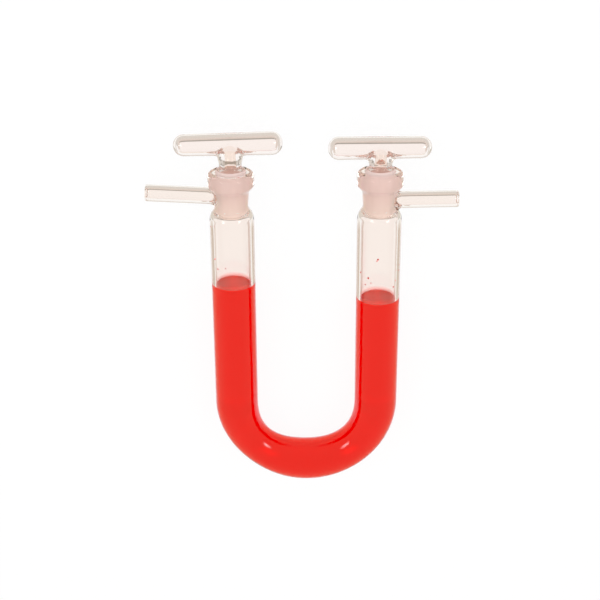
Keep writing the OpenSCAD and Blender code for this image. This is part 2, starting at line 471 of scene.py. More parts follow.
def to_row_height(tube):
    """Row Y of the middle of the bend."""
    return TUBE_LOW.y + BEND_R + tube.tube_d / 2


def settings():
    """The scene's settings for this object."""
    return bpy.context.scene.drying_tube


def rounded(corners, step):
    """A profile through corners given as (x, z, bend): each corner is turned by an arc of its bend
    radius that meets both sides at a tangent, and no two rows are further apart than step."""
    spots = np.array([corner[:2] for corner in corners], float)
    run = [spots[:1]]
    for before, at, after, corner in zip(spots[:-2], spots[1:-1], spots[2:], corners[1:-1]):
        way_in = (at - before) / np.linalg.norm(at - before)
        way_out = (after - at) / np.linalg.norm(after - at)
        turn = math.atan2(way_in[0] * way_out[1] - way_in[1] * way_out[0], way_in @ way_out)
        reach = corner[2] * math.tan(abs(turn) / 2)
        angles = np.linspace(0, turn, max(2, math.ceil(abs(turn) / ARC_STEP) + 1))
        across = math.copysign(corner[2], turn) * np.array([-way_in[1], way_in[0]])
        centre = at - way_in * reach + across
        run.append(centre - np.cos(angles)[:, None] * across
                   + np.sin(angles)[:, None] * way_in * math.copysign(corner[2], turn)
                   if corner[2] else at[None])
    run = np.concatenate(run + [spots[-1:]])
    along = np.concatenate([[0], np.cumsum(np.linalg.norm(np.diff(run, axis=0), axis=1))])
    stops = [np.linspace(a, b, math.ceil((b - a) / step), endpoint=False)
             for a, b in zip(along[:-1], along[1:]) if b - a > TINY]
    stops = np.concatenate(stops + [along[-1:]])
    return np.stack([np.interp(stops, along, run[:, 0]), np.interp(stops, along, run[:, 1])], -1)


def even_rows(profile, middle, half, count):
    """The same profile, which runs down from its mouth, with count even steps between the heights
    middle + half and middle - half, and where those steps start and end."""
    heights = profile[:, 1]
    first = np.argmax(heights < middle + half)
    last = np.argmax(heights <= middle - half)
    new = np.linspace(middle + half, middle - half, count + 1)
    widths = np.interp(-new, -heights[first - 1:last + 1], profile[first - 1:last + 1, 0])
    rows = np.concatenate([profile[:first], np.stack([widths, new], -1), profile[last:][
        profile[last:, 1] < middle - half - TINY]])
    return rows, first, first + count


def patch(first, last, half, columns):
    """Row and column numbers once round the edge of a patch that is centred on column 0."""
    rows, cols = np.arange(first, last), np.arange(-half, half)
    edge_rows = [np.full(2 * half, first), rows, np.full(2 * half, last), rows[::-1] + 1]
    edge_cols = [cols, np.full(len(rows), half), cols[::-1] + 1, np.full(len(rows), -half)]
    return np.concatenate(edge_rows), np.concatenate(edge_cols) % columns


def outside_patch(shape, first, last, half):
    """Which quads of a woven grid lie outside a patch that is centred on column 0."""
    keep = np.ones(shape, bool)
    columns = np.arange(-half, half) % shape[1]
    keep[np.ix_(np.arange(first, last), columns)] = False
    return keep


def fillet(start, start_way, end, end_way, rows, pull=1.0):
    """Rows from one loop of points to another on a cubic curve that leaves the first and meets the
    second along the given directions, each pulled by the gap's length."""
    t = np.linspace(0, 1, rows + 2)[1:-1, None, None]
    gap = np.linalg.norm(end - start, axis=1, keepdims=True) * pull
    return ((2 * t**3 - 3 * t**2 + 1) * start + (t**3 - 2 * t**2 + t) * gap * start_way
            + (3 * t**2 - 2 * t**3) * end + (t**3 - t**2) * gap * end_way)


def unit(vectors):
    """The same vectors with length 1."""
    return vectors / np.linalg.norm(vectors, axis=-1, keepdims=True)


def on_turned(profile, across, heights):
    """Points on a turned surface about Z that are seen from +X at the given places: out is the
    radius at that height, less what its own curve takes off."""
    width = np.interp(-heights, -profile[:, 1], profile[:, 0])
    return np.stack([np.sqrt(np.maximum(width**2 - across**2, 0)), across, heights], axis=-1)


def hole_in_turned(profile, loop, middle, radius, rows):
    """Rows on a turned surface from a patch's edge in to a round hole that is seen from +X, then
    the hole's edge and the way each of its points goes on towards the hole's axis."""
    spots = np.stack([loop[:, 1], loop[:, 2] - middle], -1)
    ring = unit(spots) * radius
    share = np.linspace(0, 1, rows + 2)[1:, None, None]
    spread = spots + (ring - spots) * share
    points = on_turned(profile, spread[..., 0], spread[..., 1] + middle)
    beyond = ring * 0.98
    return points, unit(on_turned(profile, beyond[:, 0], beyond[:, 1] + middle) - points[-1])


# Shape of the tubing

# Furthest distance between the rows of each part, in metres.
LIMB_STEP, BEND_STEP, ARM_STEP, PLUG_STEP, BAR_STEP = 0.0014, 0.0015, 0.0016, 0.0007, 0.002
# Half heights of the patches that are cut for an arm from the neck's outside and from the socket,
# and the rows in each.
NECK_CUT, SOCKET_CUT, CUT_ROWS = 0.0058, 0.0042, 20
# How much wider than the arm's bore its hole opens in the walls of the socket and the cone.
HOLE_EASE = 0.0003
SOCKET_HOLE_ROWS = 5
# How closely faces are told to lie above or below the liquid's level.
LEVEL_EASE = 0.00001


def socket_r(height, tube):
    """Radius of the ground bore at a height: it narrows evenly from the mouth down."""
    mouth_z = mouth_height(tube)
    return (tube.mouth_d - (mouth_z - height) * tube.taper) / 2


def mouth_height(tube):
    """Height of the mouths above the middle of the bend, from the frame."""
    return TUBE_HIGH.y - TUBE_LOW.y - BEND_R - tube.tube_d / 2


def arm_root(side, tube):
    """Height of an arm's root above the middle of the bend."""
    return mouth_height(tube) - (tube.left_arm_drop if side == LEFT else tube.right_arm_drop)


def limb_outside(tube):
    """Profile of a limb's outside from the crest of its mouth down to the bend."""
    mouth_z = mouth_height(tube)
    collar_r = TUBE_HIGH.z - AXIS_HEIGHT
    collar_foot = mouth_z - tube.collar_h
    neck_foot = mouth_z - tube.neck_h
    shoulder = neck_foot - tube.shoulder_h
    limb_r = tube.tube_d / 2
    crest = (collar_r - tube.collar_round + socket_r(mouth_z, tube)) / 2
    bevel_round, collar_root, neck_root = 0.0012, 0.0015, 0.003
    neck_lift, neck_trim = 0.0006, 0.0001
    return rounded([
        (crest, mouth_z, 0),
        (collar_r, mouth_z, tube.collar_round),
        (collar_r, collar_foot + tube.bevel_h, bevel_round),
        (socket_r(collar_foot, tube) + tube.neck_wall, collar_foot, collar_root),
        (socket_r(neck_foot, tube) + tube.neck_wall - neck_trim, neck_foot + neck_lift, neck_root),
        (limb_r, shoulder + tube.shoulder_rise, tube.shoulder_round),
        (limb_r, 0, 0),
    ], LIMB_STEP)


def limb_inside(tube, level):
    """Profile of a limb's inside from the crest of its mouth down to the bend, with a row at the
    liquid's level."""
    mouth_z = mouth_height(tube)
    collar_r = TUBE_HIGH.z - AXIS_HEIGHT
    joint_end = mouth_z - tube.joint_len
    shoulder = mouth_z - tube.neck_h - tube.shoulder_h
    bore_r = tube.tube_d / 2 - tube.tube_wall
    crest_gap, joint_round = 0.0002, 0.0008
    crest = (collar_r - tube.collar_round + socket_r(mouth_z, tube)) / 2 - crest_gap
    return rounded([
        (crest, mouth_z, 0),
        (socket_r(mouth_z, tube), mouth_z, tube.mouth_round),
        (socket_r(joint_end, tube), joint_end, joint_round),
        (bore_r, shoulder + tube.shoulder_rise, tube.shoulder_inner_round),
        (bore_r, level, 0),
        (bore_r, 0, 0),
    ], LIMB_STEP)


class Path:
    """Stations along the U: the centre, the way out of the U and the radius at each."""

    def __init__(self, tube, left, right, bend_radius):
        """From the profile of the left limb, down, round the bend and up the profile of the
        right limb. The bend's centre line is a half circle of the limbs' half pitch. In each of
        its corners, halfway down, the tube narrows and its centre line bulges out, both by the
        square of the sine of twice the angle."""
        turns = np.linspace(0, math.pi, max(3, round(math.pi * BEND_R / BEND_STEP)) + 1)[1:-1]
        corner = np.sin(2 * turns)**2
        squeeze = np.where(turns < math.pi / 2, tube.left_squeeze, tube.right_squeeze) * corner
        middle = BEND_R + tube.corner_push * corner
        bend_out = np.stack([-np.cos(turns), -np.sin(turns)], -1)
        lines = [(left, LEFT), (right[::-1], RIGHT)]
        sides = [(np.stack([np.full(len(p), side * BEND_R), p[:, 1]], -1),
                  np.tile([side, 0.0], (len(p), 1)), p[:, 0]) for p, side in lines]
        self.centre = np.concatenate([sides[0][0], bend_out * middle[:, None], sides[1][0]])
        self.out = np.concatenate([sides[0][1], bend_out, sides[1][1]])
        self.radius = np.concatenate([sides[0][2], bend_radius - squeeze, sides[1][2]])

    def rings(self, columns):
        """A ring of points round each station: the centre, plus the radius times the cosine of
        the angle along the way out and its sine along Y."""
        angles = np.linspace(0, 2 * math.pi, columns, endpoint=False)
        out = self.out[:, None] * np.cos(angles)[None, :, None]
        plane = self.centre[:, None] + self.radius[:, None, None] * out
        away = self.radius[:, None] * np.sin(angles)
        return np.stack([plane[..., 0], away, plane[..., 1]], axis=-1)


def liquid_levels(liquid):
    """Height of the liquid in each limb above the middle of the bend."""
    return {LEFT: liquid.left_level, RIGHT: liquid.right_level}


def beside_limb(side, points):
    """Points given as (out from the limb's axis, Y, Z), put beside the left or right limb."""
    return np.stack([side * (BEND_R + points[..., 0]), points[..., 1], points[..., 2]], axis=-1)


def from_limb(side, points):
    """The opposite of beside_limb."""
    return np.stack([side * points[..., 0] - BEND_R, points[..., 1], points[..., 2]], axis=-1)


def arm_tube(side, tube, root, outside, inside, outer_loop, inner_loop):
    """The rows of a side arm, from the edge of a patch in the neck's outside to the edge of the
    patch in the socket: in to the round foot of the fused root, up its fillet, out along the arm,
    round the rounded tip, back down the bore and out again over the socket's wall."""
    arm_r = tube.arm_d / 2
    bore_r = arm_r - tube.arm_wall
    rise = tube.left_arm_rise if side == LEFT else tube.right_arm_rise
    tip_x = TUBE_LOW.x if side == LEFT else TUBE_HIGH.x
    reach = (abs(tip_x - MID_X) - BEND_R - arm_r * math.sin(rise)) / math.cos(rise)
    neck_r = socket_r(root, tube) + tube.neck_wall
    ring = unit(np.stack([outer_loop[:, 1], outer_loop[:, 2] - root], -1))
    way = np.array([math.cos(rise), 0, math.sin(rise)])
    up = np.array([-math.sin(rise), 0, math.cos(rise)])

    def rings(profile):
        along = profile[:, 0, None, None] * way
        round_it = ring[:, :1] * np.array([0, 1, 0]) + ring[:, 1:] * up
        return along + profile[:, 1, None, None] * round_it + np.array([0, 0, root])

    lip_round, throat_round, wall_gap = 0.0004, 0.0012, 0.0006
    tubing = rings(rounded([
        (neck_r + tube.root_run, arm_r, 0),
        (reach, arm_r, tube.tip_round),
        (reach, bore_r - tube.tip_narrowing, lip_round),
        (reach - tube.tip_run, bore_r, throat_round),
        (socket_r(root, tube) + wall_gap, bore_r, 0),
    ], ARM_STEP))
    foot, foot_way = hole_in_turned(outside, outer_loop, root, arm_r + tube.root_flare, 5)
    inner, inner_way = hole_in_turned(inside, inner_loop, root, bore_r + HOLE_EASE,
                                      SOCKET_HOLE_ROWS)
    return np.concatenate([
        foot,
        fillet(foot[-1], foot_way, tubing[0], way, 7),
        tubing,
        fillet(inner[-1], inner_way, tubing[-1], way, 3)[::-1],
        inner[::-1],
    ])


def u_tube_skin(tube, liquid, columns):
    """The U-tube as one closed surface. Its outside runs from mouth to mouth and its inside back
    again, each a ring of radius r(s) round the U's centre line at s, and each arm is a tunnel that
    joins a patch cut from the neck's outside to one cut from its socket."""
    half = columns * 7 // 48
    roots = {side: arm_root(side, tube) for side in SIDES}
    levels = liquid_levels(liquid)
    outside, inside, cuts = {}, {}, {}
    for side in SIDES:
        outside[side], out_first, out_last = even_rows(limb_outside(tube), roots[side],
                                                       NECK_CUT, CUT_ROWS)
        inside[side], in_first, in_last = even_rows(limb_inside(tube, levels[side]), roots[side],
                                                    SOCKET_CUT, CUT_ROWS)
        cuts[side] = [(out_first, out_last), (in_first, in_last)]
    limb_r = tube.tube_d / 2
    outer = Path(tube, outside[LEFT], outside[RIGHT], limb_r).rings(columns)
    inner = Path(tube, inside[LEFT], inside[RIGHT], limb_r - tube.tube_wall).rings(columns)
    for face, rows in enumerate((outer, inner)):
        last = len(rows) - 1
        cuts[RIGHT][face] = tuple(last - row for row in reversed(cuts[RIGHT][face]))

    skin = Skin()
    outer_rows, inner_rows = skin.add(outer), skin.add(inner)
    keeps = [np.ones((len(rows) - 1, columns), bool) for rows in (outer, inner)]
    for side in SIDES:
        for keep, (first, last) in zip(keeps, cuts[side]):
            keep &= outside_patch(keep.shape, first, last, half)
    heights, mouth_z = inner[:, 0, 2], mouth_height(tube)
    ground = ((heights[:-1] > mouth_z - tube.joint_len)
              & (heights[:-1] < mouth_z - tube.mouth_round))
    crests = np.maximum(heights[:-1], heights[1:])
    wetted = crests < np.where(inner[:-1, 0, 0] < 0, levels[LEFT], levels[RIGHT]) + LEVEL_EASE
    skin.weave(outer_rows, keep=keeps[0])
    skin.weave(inner_rows, kind=np.where(wetted, WETTED, np.where(ground, GROUND, CLEAR)),
               keep=keeps[1], flip=True)
    skin.weave([outer_rows[-1], inner_rows[-1]])
    skin.weave([inner_rows[0], outer_rows[0]])

    for side in SIDES:
        (out_first, out_last), (in_first, in_last) = cuts[side]
        outer_edge = patch(out_first, out_last, half, columns)
        inner_edge = patch(in_first, in_last, half, columns)
        rows = arm_tube(side, tube, roots[side], outside[side], inside[side],
                        from_limb(side, outer[outer_edge]), from_limb(side, inner[inner_edge]))
        arm_rows = skin.add(beside_limb(side, rows))
        kinds = np.full(len(rows) + 1, CLEAR)
        kinds[-SOCKET_HOLE_ROWS - 1:] = GROUND
        skin.weave(np.concatenate([outer_rows[outer_edge][None], arm_rows,
                                   inner_rows[inner_edge][None]]), kind=kinds)
    return skin


# Shape of the plugs

FOOT_ROUND = 0.0004
# How far below the foot of the stem the ground face of a cone ends.
GROUND_TOP_DROP = 0.0008
# Half height of the patches that are cut from a cone and its hollow for the hole to the arm.
CONE_CUT = 0.0036
# For a bar's outside and for its bore: how far along it the patch over the stem reaches each way,
# half the length of the stem's top along it and half its angle round it, and how square its ends
# are, where 1 is round.
BAR_OUTSIDE = 0.0086, 0.0073, math.radians(80), 0.95
BAR_BORE = 0.0054, 0.0040, math.radians(76), 0.8


def plug_outside(side, tube, plug):
    """Profile of a plug's outside from under its bar down over the stem, the head and the cone."""
    mouth_z = mouth_height(tube)
    joint_end = PLUG_BOX[side][0].y - to_row_height(tube)
    cone_top = socket_r(mouth_z, tube) - plug.joint_gap
    cone_foot = socket_r(joint_end, tube) - plug.joint_gap
    top_trim, top_drop, waist_round = 0.0004, 0.0008, 0.0018
    head_swell, head_edge, head_round, cone_round = 0.0001, 0.0012, 0.0012, 0.001
    return rounded([
        (plug.stem_top_d / 2 - top_trim,
         bar_height(side, tube, plug) - plug.bar_d / 2 - top_drop, 0),
        (plug.stem_d / 2, mouth_z + plug.head_h, waist_round),
        (cone_top + head_swell, mouth_z + head_edge, head_round),
        (cone_top, mouth_z, cone_round),
        (cone_foot, joint_end, FOOT_ROUND),
        (cone_foot - plug.plug_wall / 2, joint_end, 0),
    ], PLUG_STEP)


def plug_inside(side, tube, plug):
    """Profile of a plug's hollow from under its bar down to the foot."""
    mouth_z = mouth_height(tube)
    joint_end = PLUG_BOX[side][0].y - to_row_height(tube)
    inset = plug.joint_gap + plug.plug_wall
    stem_bore = plug.stem_d / 2 - plug.stem_wall
    top_drop, head_lift, head_round, foot_share = 0.0002, 0.0006, 0.002, 0.4
    return rounded([
        (stem_bore, bar_height(side, tube, plug) - plug.bar_d / 2 - top_drop, 0),
        (stem_bore, mouth_z + plug.head_h - plug.plug_wall, head_round),
        (socket_r(mouth_z, tube) - inset, mouth_z - plug.plug_wall + head_lift, head_round),
        (socket_r(joint_end, tube) - inset, joint_end, FOOT_ROUND),
        (socket_r(joint_end, tube) - inset + plug.plug_wall * foot_share, joint_end, 0),
    ], PLUG_STEP)


def bar_height(side, tube, plug):
    """Height of a T-bar's centre line above the middle of the bend, from the frame."""
    return PLUG_BOX[side][1].y - plug.bar_d / 2 - to_row_height(tube)


def bar_rows(low, high, radius, swell, reach, steps, blunt):
    """Stations along a rod from low to high, whose ends bulge by its radius: half circles when
    blunt is 1, and squarer the smaller it is. There are even steps within reach of the stem. Gives
    each station's place and radius, which grows by swell along the rod, and the patch's rows."""
    turn = np.linspace(0, math.pi / 2, 13)[1:-1]
    cap = radius * (1 - np.cos(turn)**blunt)
    near = np.linspace(-reach, reach, steps + 1)
    low_count, high_count = (math.ceil((length - reach - radius) / BAR_STEP) + 1
                             for length in (-low, high))
    left = np.linspace(low + radius, -reach, low_count)[:-1]
    right = np.linspace(reach, high - radius, high_count)[1:]
    places = np.concatenate([low + cap, left, near, right, high - cap[::-1]])
    share = np.concatenate([np.sin(turn)**blunt, np.ones(len(left) + len(near) + len(right)),
                            np.sin(turn[::-1])**blunt])
    first = len(cap) + len(left)
    return places, share * (radius + swell * places), first, first + steps


def bar_points(places, radii, columns, height):
    """Rings round a rod along X, with column 0 at its underside."""
    angles = np.linspace(0, 2 * math.pi, columns, endpoint=False)
    return np.stack([np.broadcast_to(places[:, None], (len(places), columns)),
                     radii[:, None] * np.sin(angles),
                     height - radii[:, None] * np.cos(angles)], axis=-1)


def stem_hole(edge_places, edge_angles, radius, swell, height, half_x, half_angle, rows):
    """Rows on the rod's surface from the edge of a patch in to the stem's top, an ellipse in place
    and angle, then the way each point of that goes on towards the middle."""
    spots = np.stack([edge_places / half_x, edge_angles / half_angle], -1)
    ring = unit(spots)
    share = np.linspace(0, 1, rows + 2)[1:, None, None]
    plan = np.concatenate([spots + (ring - spots) * share, ring[None] * 0.97])
    places, angles = plan[..., 0] * half_x, plan[..., 1] * half_angle
    around = radius + swell * places
    points = np.stack([places, around * np.sin(angles), height - around * np.cos(angles)], -1)
    return points[:-1], unit(points[-1] - points[-2])


def plug_skin(side, tube, plug, columns):
    """A plug as one closed surface: rods for the bar's outside and its bore, each with a patch
    cut from its underside that runs on into the turned outside or hollow of the stem and cone,
    which meet at the foot, and a tunnel through the cone's wall towards the arm."""
    turn = plug.left_turn if side == LEFT else plug.right_turn
    swell = plug.left_swell if side == LEFT else plug.right_swell
    low, high = PLUG_BOX[side]
    axis_x = (LEFT_AXIS if side == LEFT else RIGHT_AXIS).x
    height = bar_height(side, tube, plug)
    bar_r = plug.bar_d / 2
    ends = [(x - axis_x + sign * bar_r) / math.cos(turn) - sign * bar_r
            for x, sign in ((low.x, 1), (high.x, -1))]
    root, mouth_z = arm_root(side, tube), mouth_height(tube)

    def in_place(points):
        x, y = points[:, 0], points[:, 1]
        return np.stack([side * BEND_R + x * math.cos(turn) - y * math.sin(turn),
                         x * math.sin(turn) + y * math.cos(turn), points[:, 2]], axis=-1)

    skin = Skin(in_place)
    quarter, around = columns // 4, columns // 2
    hole_half = columns // 8
    towards_arm = columns // 8 if side == LEFT else columns * 5 // 8
    turned = 1.25 * math.pi - np.linspace(0, 2 * math.pi, columns, endpoint=False)
    stems, stem_points, profiles, cuts = [], [], [], []
    for inside, profile, sizes in ((False, plug_outside(side, tube, plug), BAR_OUTSIDE),
                                   (True, plug_inside(side, tube, plug), BAR_BORE)):
        reach, half_x, half_angle, blunt = sizes
        radius = bar_r - plug.bar_wall if inside else bar_r
        inset = plug.bar_end if inside else 0.0
        places, radii, first, last = bar_rows(ends[0] + inset, ends[1] - inset, radius, swell,
                                              reach, quarter, blunt)
        bar = skin.add(bar_points(places, radii, around, height))
        skin.weave(bar, keep=outside_patch((len(bar) - 1, around), first, last, quarter // 2),
                   flip=inside)
        skin.close(bar[0], [ends[0] + inset, 0, height], flip=not inside)
        skin.close(bar[-1], [ends[1] - inset, 0, height], flip=inside)

        edge = patch(first, last, quarter // 2, around)
        angles = ((edge[1] + around // 2) % around - around // 2) * 2 * math.pi / around
        saddle, way = stem_hole(places[edge[0]], angles, radius, swell, height, half_x,
                                half_angle, 4)
        profile, first, last = even_rows(profile, root, CONE_CUT, quarter // 2)
        stem = np.stack([profile[:, :1] * np.cos(turned), profile[:, :1] * np.sin(turned),
                         np.broadcast_to(profile[:, 1:], (len(profile), columns))], axis=-1)
        neck = fillet(saddle[-1], way, stem[0], np.array([0, 0, -1.0]), 7)
        stem, joined = (np.roll(rows, -towards_arm, axis=1)
                        for rows in (stem, np.concatenate([saddle, neck])))
        stem_rows = skin.add(stem)
        rows = np.concatenate([np.roll(bar[edge], -towards_arm)[None], skin.add(joined),
                               stem_rows[:1]])
        heights = profile[:-1, 1]
        if inside:
            worked = np.arange(len(rows) - 1) > len(saddle) + 1
            skin.weave(rows, kind=np.where(worked, WORKED, CLEAR), flip=True)
            kinds = np.where(heights > mouth_z + plug.head_h, WORKED, CLEAR)
        else:
            skin.weave(rows)
            on_cone = profile[:-1, 0] > profile[-2, 0]
            ground = (heights < mouth_z + plug.head_h - GROUND_TOP_DROP) & on_cone
            kinds = np.where(ground, GROUND, CLEAR)
        skin.weave(stem_rows, kind=kinds, flip=inside,
                   keep=outside_patch((len(stem) - 1, columns), first, last, hole_half))
        stems.append(stem_rows)
        stem_points.append(stem * np.array([side, 1, 1]))
        profiles.append(profile)
        cuts.append(patch(first, last, hole_half, columns))
    skin.weave([stems[0][-1], stems[1][-1]])

    hole_r = tube.arm_d / 2 - tube.arm_wall + HOLE_EASE
    (outer, outer_way), (inner, inner_way) = (
        hole_in_turned(profile, points[cut], root, hole_r, 4)
        for profile, points, cut in zip(profiles, stem_points, cuts))
    tunnel = fillet(outer[-1], outer_way, inner[-1], -inner_way, 5, pull=0.5)
    rows = np.concatenate([outer, tunnel, inner[::-1]]) * np.array([side, 1, 1])
    skin.weave(np.concatenate([stems[0][cuts[0]][None], skin.add(rows), stems[1][cuts[1]][None]]))
    return skin


# Shape of the liquid

# How far the liquid's wall starts below its surface, and how far its faces reach into the glass.
EDGE_DROP, OVERLAP = 0.00003, 0.00002


def liquid_profile(level, radius):
    """Profile of a column of liquid from the middle of its flat surface out and down to the bend,
    with rows that crowd towards the glass."""
    share = np.sin(np.linspace(0, math.pi / 2, 20))[1:]
    wall = np.linspace(level, 0, math.ceil(level / BEND_STEP) + 1)
    wall[0] -= EDGE_DROP
    return np.concatenate([np.stack([share * radius, np.full(len(share), level)], -1),
                           np.stack([np.full(len(wall), radius), wall], -1)])


def liquid_skin(tube, liquid, columns):
    """The liquid as one closed surface: a ring round the U's centre line at each station, from
    the middle of one surface to the middle of the other."""
    radius = tube.tube_d / 2 - tube.tube_wall + OVERLAP
    left, right = (liquid_profile(level, radius) for level in liquid_levels(liquid).values())
    path = Path(tube, left, right, radius)
    skin = Skin()
    rows = skin.add(path.rings(columns))
    skin.weave(rows)
    skin.close(rows[0], [-BEND_R, 0, liquid.left_level], flip=True)
    skin.close(rows[-1], [BEND_R, 0, liquid.right_level])
    return skin


def mark(mesh, name, domain, values):
    """Gives a mesh's points or faces an attribute."""
    attribute = mesh.attributes.new(name, "FLOAT", domain)
    attribute.data.foreach_set("value", np.asarray(values, np.float32).ravel())


def above_level(items, field, tube, liquid):
    """How far a mesh's points or faces lie above the liquid's level in their limb."""
    places = np.empty(len(items) * 3)
    items.foreach_get(field, places)
    places = places.reshape(-1, 3)
    level = np.where(places[:, 0] < MID_X, liquid.left_level, liquid.right_level)
    return places[:, 1] - to_row_height(tube) - level


def mark_wetted(mesh, tube, liquid):
    """Attribute wetted is 1 on the faces below the liquid's levels, and 0 on its free surfaces."""
    above = above_level(mesh.polygons, "center", tube, liquid)
    mark(mesh, "wetted", "FACE", above < -EDGE_DROP - LEVEL_EASE)


def mark_film(mesh, tube, liquid):
    """Attribute film is 1 at the liquid's levels and falls to 0 at the film's top, by the square
    of the height that is left."""
    left = 1 - above_level(mesh.vertices, "co", tube, liquid) / liquid.film_h
    mark(mesh, "film", "POINT", np.clip(left, 0, 1)**2)


DROPLETS = [  # side, height above the bend, angle round the bore from the arm's side, radius
    (RIGHT, 0.0770, 265, 0.00040), (RIGHT, 0.0762, 262, 0.00028), (RIGHT, 0.0672, 236, 0.00042),
    (RIGHT, 0.0650, 245, 0.00026), (RIGHT, 0.0636, 226, 0.00030), (RIGHT, 0.0622, 318, 0.00032),
    (RIGHT, 0.0650, 326, 0.00026), (RIGHT, 0.0686, 205, 0.00034), (RIGHT, 0.0690, 345, 0.00040),
    (RIGHT, 0.0714, 347, 0.00030), (LEFT, 0.0905, 350, 0.00036), (LEFT, 0.0758, 330, 0.00030),
    (LEFT, 0.0715, 318, 0.00034), (LEFT, 0.0728, 290, 0.00026),
]


def droplet_skin(tube, columns=24):
    """Flat drops on the bore's wall. Each is a ball squashed to two fifths along the way to the
    limb's axis and stretched by a tenth downwards, with its middle close to the glass."""
    flatness, stretch, stand_off = 0.4, 1.1, 0.15
    bore_r = tube.tube_d / 2 - tube.tube_wall
    turn = np.linspace(0, 2 * math.pi, columns, endpoint=False)
    tilt = np.linspace(0, math.pi, 13)[1:-1, None]
    ball = np.stack(np.broadcast_arrays(np.cos(tilt), np.sin(tilt) * np.sin(turn),
                                        np.sin(tilt) * np.cos(turn) * stretch), axis=-1)
    skin = Skin()
    for side, height, angle, size in DROPLETS:
        angle = math.radians(angle)
        out = np.array([side * math.cos(angle), math.sin(angle), 0])
        along = np.array([-side * math.sin(angle), math.cos(angle), 0])
        middle = np.array([side * BEND_R, 0, height]) + out * (bore_r - stand_off * size)
        axes = np.array([-out * flatness, along, [0, 0, 1.0]]) * size
        rows = skin.add(middle + ball @ axes)
        skin.weave(rows, flip=side == RIGHT)
        skin.close(rows[0], middle + axes[0], flip=side == LEFT)
        skin.close(rows[-1], middle - axes[0], flip=side == RIGHT)
    return skin


def film_skin(tube, liquid, columns):
    """The film that the liquid leaves on the bore above its levels: a thin ring at each, whose
    faces stand 0.01 and 0.03 mm off the glass."""
    rows, foot_gap, near_gap, far_gap = 8, 0.00002, 0.00001, 0.00003
    bore_r = tube.tube_d / 2 - tube.tube_wall
    turn = np.linspace(0, 2 * math.pi, columns, endpoint=False)
    heights = np.linspace(foot_gap, liquid.film_h, rows)
    radii = bore_r - np.repeat([near_gap, far_gap], rows)[:, None]
    skin = Skin()
    for side, level in liquid_levels(liquid).items():
        upright = level + np.concatenate([heights, heights[::-1]])[:, None]
        rows = skin.add(np.stack(np.broadcast_arrays(side * BEND_R + radii * np.cos(turn),
                                                     radii * np.sin(turn), upright), axis=-1))
        skin.weave(rows)
        skin.weave([rows[-1], rows[0]])
    return skin


# Finishes

def new_material(name):
    """An empty node material, with its node tree and output."""
    material = bpy.data.materials.new(name)
    material.use_nodes = True
    tree = material.node_tree
    tree.nodes.clear()
    return material, tree, tree.nodes.new("ShaderNodeOutputMaterial")


def set_inputs(node, **values):
    """Sets a node's sockets by name, with _ for a space."""
    for name, value in values.items():
        node.inputs[name.replace("_", " ")].default_value = value
    return node


def maths(tree, operation, first, second):
    """A Math node on two sockets or numbers; gives its value."""
    node = tree.nodes.new("ShaderNodeMath")
    node.operation = operation
    for socket, value in zip(node.inputs, (first, second)):
        if isinstance(value, (int, float)):
            socket.default_value = value
        else:
            tree.links.new(value, socket)
    return node.outputs[0]


def soft_step(tree, value, start, end):
    """0 before start and 1 after end, with a smooth step between."""
    node = set_inputs(tree.nodes.new("ShaderNodeMapRange"), From_Min=start, From_Max=end)
    node.interpolation_type = "SMOOTHSTEP"
    tree.links.new(value, node.inputs["Value"])
    return node.outputs["Result"]


def blend_colours(tree, share, first, second):
    """Blends two colours or colour sockets by a share of the second."""
    node = tree.nodes.new("ShaderNodeMix")
    node.data_type = "RGBA"
    tree.links.new(share, node.inputs["Factor"])
    for socket, colour in zip((node.inputs[6], node.inputs[7]), (first, second)):
        if isinstance(colour, tuple):
            socket.default_value = (*colour, 1)
        else:
            tree.links.new(colour, socket)
    return node.outputs[2]


def bump_from_noise(tree, scale, strength, distance, detail, stretch=(1, 1, 1)):
    """A bump from noise on object coordinates, stretched along the axes."""
    nodes, links = tree.nodes, tree.links
    place = nodes.new("ShaderNodeTexCoord")
    mapping = set_inputs(nodes.new("ShaderNodeMapping"), Scale=stretch)
    noise = set_inputs(nodes.new("ShaderNodeTexNoise"), Scale=scale, Detail=detail)
    bump = set_inputs(nodes.new("ShaderNodeBump"), Strength=strength, Distance=distance)
    links.new(place.outputs["Object"], mapping.inputs["Vector"])
    links.new(mapping.outputs["Vector"], noise.inputs["Vector"])
    links.new(noise.outputs["Fac"], bump.inputs["Height"])
    return bump


def let_light_through(tree, output, shader, tint):
    """Shadow rays pass the surface with a tint, so that it casts a pale shadow."""
    path = tree.nodes.new("ShaderNodeLightPath")
    clear = set_inputs(tree.nodes.new("ShaderNodeBsdfTransparent"), Color=(*tint, 1))
    mix = tree.nodes.new("ShaderNodeMixShader")
    tree.links.new(path.outputs["Is Shadow Ray"], mix.inputs["Fac"])
    tree.links.new(shader.outputs[0], mix.inputs[1])
    tree.links.new(clear.outputs["BSDF"], mix.inputs[2])
    tree.links.new(mix.outputs["Shader"], output.inputs["Surface"])


def smooth_glass(name, index, tint, shade, bump=None):
    """A smooth finish that bends light by its index and tints it. shade tints its shadow, and bump
    holds what bump_from_noise takes."""
    material, tree, output = new_material(name)
    shader = set_inputs(tree.nodes.new("ShaderNodeBsdfPrincipled"), Roughness=0.0, IOR=index,
                        Base_Color=(*tint, 1), Transmission_Weight=1.0)
    if bump:
        tree.links.new(bump_from_noise(tree, *bump).outputs["Normal"], shader.inputs["Normal"])
    let_light_through(tree, output, shader, shade)
    return material


def clear_glass(name, glass, tint):
    """Fire-polished glass: smooth, with the faint drawn waves of blown tubing."""
    return smooth_glass(name, glass.glass_ior, tint, (0.93, 0.92, 0.91), (90, 0.05, 0.0004, 1.0))


